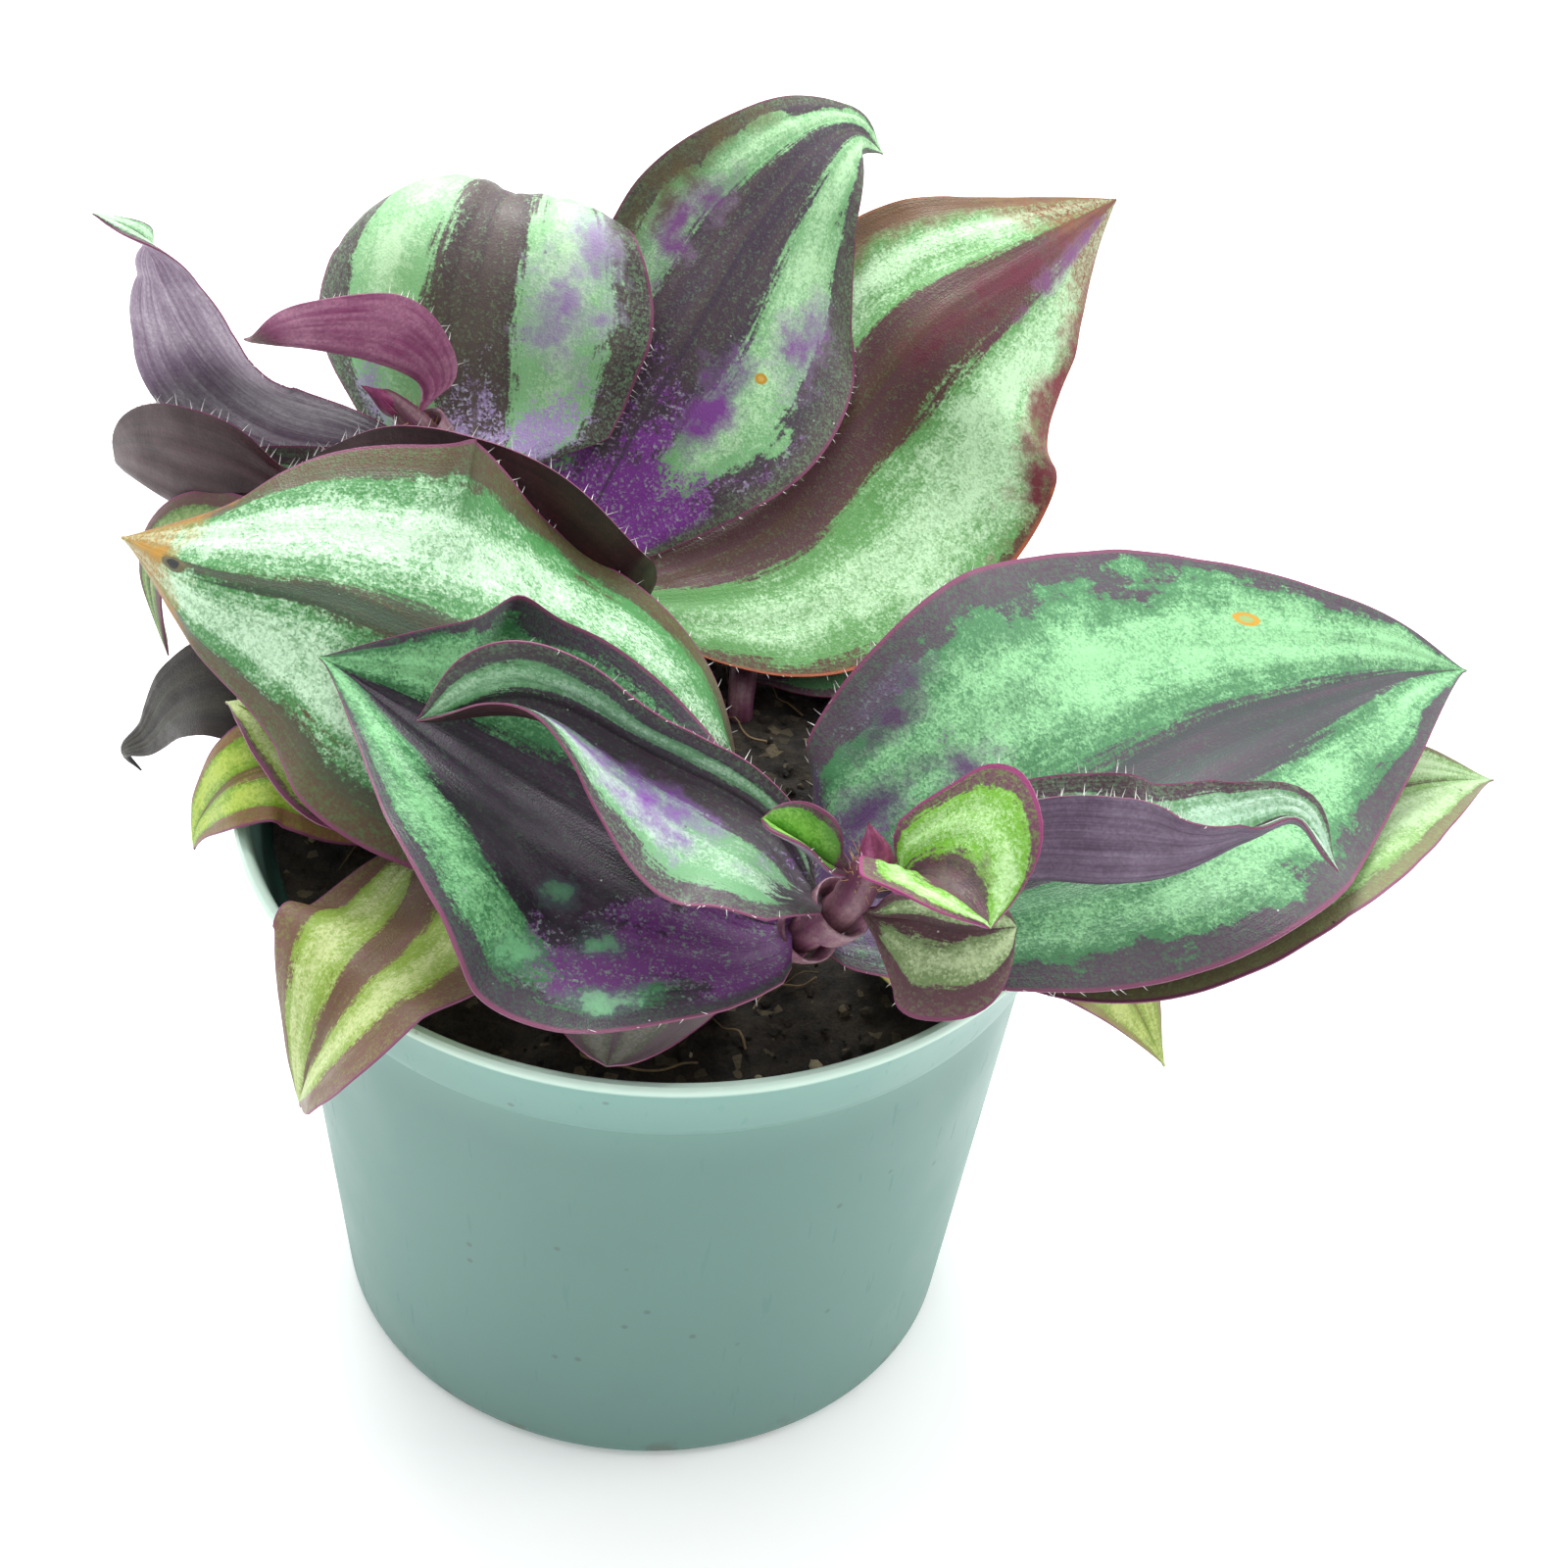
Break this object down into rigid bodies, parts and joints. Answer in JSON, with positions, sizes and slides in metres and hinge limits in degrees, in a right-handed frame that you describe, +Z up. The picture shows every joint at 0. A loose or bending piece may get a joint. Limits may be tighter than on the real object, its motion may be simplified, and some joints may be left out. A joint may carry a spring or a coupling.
{
  "type": "potted trailing plant",
  "caption": "Small trailing houseplant with broad striped leaves on short stems, growing in peat in a thin round plastic nursery pot.",
  "frame": {"origin": "centre of the pot's flat foot, on the surface the pot stands on", "axes": "+Z up along the pot's axis, +X to the right as the picture shows the plant, -Y towards its camera"},
  "size_m": [0.1499, 0.1177, 0.1179],
  "materials": {
    "pot_plastic": "satin, slightly translucent, pale grey-green",
    "peat": "rough, moist, dark peat with pale fibres",
    "stem": "smooth, fleshy, purple-brown with fine hairs",
    "leaf": "waxy, silvery green stripes on purple-brown, fine hairs",
    "leaf_green": "waxy, yellow-green with pale stripes and a magenta edge",
    "leaf_dark": "dry, dark grey-brown"
  },
  "bodies": {
    "root": {"pot": "pot_plastic", "soil": "peat", "stem_front": "stem", "stem_rear": "stem", "stem_left": "stem", "stem_right": "stem", "stem_far": "stem", "leaf_a_right": "leaf", "leaf_a_left_wide": "leaf", "leaf_a_left_narrow": "leaf", "leaf_a_left_old": "leaf", "leaf_a_folded": "leaf", "leaf_a_cup": "leaf", "leaf_a_front": "leaf", "leaf_a_curl": "leaf", "leaf_b_arch": "leaf", "leaf_b_tall": "leaf", "leaf_b_far": "leaf", "leaf_b_cupped": "leaf", "leaf_b_back": "leaf", "leaf_b_small": "leaf", "leaf_c_hanging": "leaf_green", "leaf_c_low": "leaf_green", "leaf_c_slender": "leaf_green", "leaf_c_dark": "leaf_dark", "leaf_c_tip": "leaf_green", "leaf_d_under": "leaf", "leaf_d_drooping": "leaf_green", "leaf_d_short": "leaf_green", "leaf_d_front": "leaf", "leaf_e_right": "leaf", "leaf_f_back": "leaf", "leaf_f_back_right": "leaf", "leaf_f_back_left": "leaf"}
  },
  "joints": []
}
